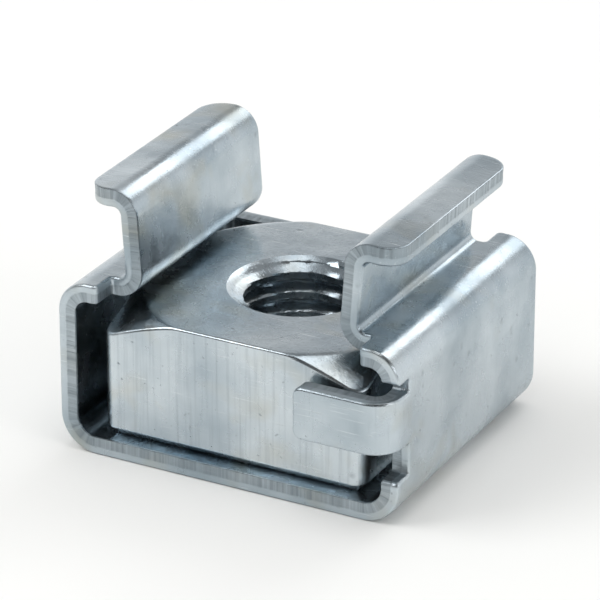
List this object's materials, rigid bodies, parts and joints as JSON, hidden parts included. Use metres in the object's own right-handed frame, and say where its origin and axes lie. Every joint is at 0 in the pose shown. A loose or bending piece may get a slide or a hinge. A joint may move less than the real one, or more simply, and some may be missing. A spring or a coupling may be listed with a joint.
{
  "type": "rack cage nut",
  "caption": "Square tapped nut floating in a folded spring steel cage that clips into a square rack hole.",
  "frame": {"origin": "on the thread's axis, on the outer face of the cage's rear plate, which it rests on", "axes": "+Z along the thread, the way the screw leaves; X along the folded strip, with a wing at each end; Y across the strip, towards the open sides"},
  "size_m": [0.0136, 0.0126, 0.01],
  "materials": {
    "plated_spring_steel": "bright zinc plate on spring steel, satin, with a faint blue cast",
    "plated_nut_steel": "bright zinc plate on a pressed steel nut, tumbled"
  },
  "bodies": {
    "cage": {"cage": "plated_spring_steel"},
    "nut": {"square_nut": "plated_nut_steel"}
  },
  "joints": [
    {"name": "nut_float", "type": "slide", "parent": "cage", "child": "nut", "axis": [1, 0, 0], "range_m": [-0.0005, 0.0005]}
  ]
}
